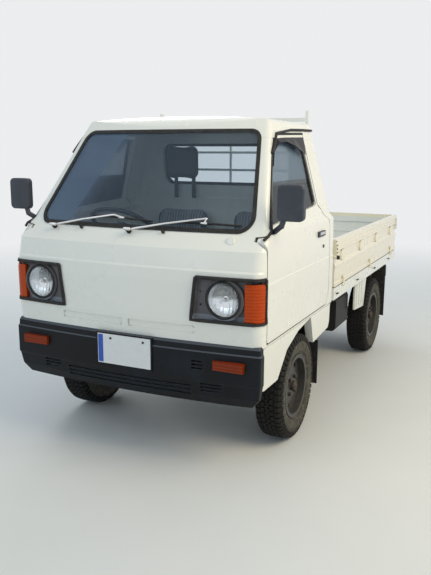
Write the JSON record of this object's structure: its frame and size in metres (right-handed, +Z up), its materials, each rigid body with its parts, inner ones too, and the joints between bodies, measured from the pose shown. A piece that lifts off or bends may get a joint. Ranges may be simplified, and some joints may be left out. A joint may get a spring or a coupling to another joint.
{
  "type": "small cab-over pickup truck",
  "caption": "Small right-hand-drive cab-over truck with a drop-side bed, opening doors and gates, and steered front wheels.",
  "frame": {"origin": "on the ground at the middle of the overall box", "axes": "+Z up, the front faces -Y, +X is the vehicle's left side"},
  "size_m": [1.662, 3.195, 1.761],
  "materials": {
    "body_paint": "aged gloss paint",
    "bed_paint": "worn paint",
    "frame_black": "satin",
    "bare_iron": "rough",
    "window_glass": "clear tinted",
    "lamp_glass": "fluted",
    "black_rubber": "matt",
    "dark_plastic": "grained",
    "bumper_plastic": "grained",
    "amber_plastic": "clear",
    "red_plastic": "clear",
    "silver_metal": "satin",
    "plate_white": "gloss",
    "seat_cloth": "woven",
    "seat_vinyl": "grained",
    "wheel_paint": "satin",
    "tyre": "dusty rubber"
  },
  "bodies": {
    "body": {"frame_rails": "frame_black", "frame_crossmembers": "frame_black", "cab_floor": "body_paint", "cab_front_panel": "body_paint", "cab_sills": "body_paint", "cab_rear_panel": "body_paint", "cab_roof": "body_paint", "cab_glass": "window_glass", "window_seals": "black_rubber", "dashboard": "dark_plastic", "steering_column": "dark_plastic", "seat_cushions": "seat_cloth", "seat_backs": "seat_cloth", "headrest": "seat_vinyl", "front_bumper": "bumper_plastic", "headlamp_bezels": "bumper_plastic", "headlamps": "lamp_glass", "amber_lamps": "amber_plastic", "wipers": "silver_metal", "door_hinge_arms": "body_paint", "bed_floor": "bed_paint", "bed_beams": "frame_black", "bed_sills": "body_paint", "rope_hooks": "frame_black", "bed_headboard": "body_paint", "guard_frame": "body_paint", "tail_lamps": "red_plastic", "tail_lamp_housings": "dark_plastic", "number_plates": "plate_white", "engine_block": "bare_iron", "exhaust": "bare_iron", "fuel_tank": "frame_black", "rear_axle": "frame_black", "leaf_springs": "frame_black", "front_arms": "frame_black", "front_struts": "frame_black", "front_drive": "frame_black", "wheel_houses": "body_paint", "mud_flaps": "black_rubber", "tow_eyes": "frame_black"},
    "door_left": {"door_left": "body_paint", "door_left_glass": "window_glass", "door_left_fittings": "bumper_plastic"},
    "door_right": {"door_right": "body_paint", "door_right_glass": "window_glass", "door_right_fittings": "bumper_plastic"},
    "gate_left": {"gate_left": "body_paint"},
    "gate_right": {"gate_right": "body_paint"},
    "tailgate": {"tailgate": "body_paint"},
    "knuckle_left": {"knuckle_left": "frame_black"},
    "knuckle_right": {"knuckle_right": "frame_black"},
    "steering_wheel": {"steering_wheel": "dark_plastic"},
    "wheel_front_left": {"rim_front_left": "wheel_paint", "tyre_front_left": "tyre"},
    "wheel_front_right": {"rim_front_right": "wheel_paint", "tyre_front_right": "tyre"},
    "wheel_rear_left": {"rim_rear_left": "wheel_paint", "tyre_rear_left": "tyre"},
    "wheel_rear_right": {"rim_rear_right": "wheel_paint", "tyre_rear_right": "tyre"}
  },
  "joints": [
    {"name": "door_left_hinge", "type": "hinge", "parent": "body", "child": "door_left", "pos_m": [0.6725, -1.451, 0.9], "axis": [0, 0, -1], "range_deg": [0, 65]},
    {"name": "door_right_hinge", "type": "hinge", "parent": "body", "child": "door_right", "pos_m": [-0.6725, -1.451, 0.9], "axis": [0, 0, 1], "range_deg": [0, 65]},
    {"name": "gate_left_hinge", "type": "hinge", "parent": "body", "child": "gate_left", "pos_m": [0.7045, 0.3, 0.712], "axis": [0, 1, 0], "range_deg": [0, 170]},
    {"name": "gate_right_hinge", "type": "hinge", "parent": "body", "child": "gate_right", "pos_m": [-0.7045, 0.3, 0.712], "axis": [0, -1, 0], "range_deg": [0, 170]},
    {"name": "tailgate_hinge", "type": "hinge", "parent": "body", "child": "tailgate", "pos_m": [0, 1.591, 0.712], "axis": [-1, 0, 0], "range_deg": [0, 170]},
    {"name": "steer_left", "type": "hinge", "parent": "body", "child": "knuckle_left", "pos_m": [0.565, -0.948, 0.284], "axis": [0, 0, 1], "range_deg": [-33, 33]},
    {"name": "steer_right", "type": "hinge", "parent": "body", "child": "knuckle_right", "pos_m": [-0.565, -0.948, 0.284], "axis": [0, 0, 1], "range_deg": [-33, 33]},
    {"name": "steering_wheel_turn", "type": "hinge", "parent": "body", "child": "steering_wheel", "pos_m": [-0.262, -1.163, 1.12], "axis": [0, 0.5736, 0.8192], "range_deg": [-495, 495]},
    {"name": "wheel_front_left_spin", "type": "hinge", "parent": "knuckle_left", "child": "wheel_front_left", "pos_m": [0.61, -0.948, 0.284], "axis": [1, 0, 0], "continuous": true},
    {"name": "wheel_front_right_spin", "type": "hinge", "parent": "knuckle_right", "child": "wheel_front_right", "pos_m": [-0.61, -0.948, 0.284], "axis": [1, 0, 0], "continuous": true},
    {"name": "wheel_rear_left_spin", "type": "hinge", "parent": "body", "child": "wheel_rear_left", "pos_m": [0.61, 0.902, 0.284], "axis": [1, 0, 0], "continuous": true},
    {"name": "wheel_rear_right_spin", "type": "hinge", "parent": "body", "child": "wheel_rear_right", "pos_m": [-0.61, 0.902, 0.284], "axis": [1, 0, 0], "continuous": true}
  ],
  "couplings": [
    {"joint": "steer_right", "follows": "steer_left", "ratio": 1},
    {"joint": "steering_wheel_turn", "follows": "steer_left", "ratio": 15}
  ]
}
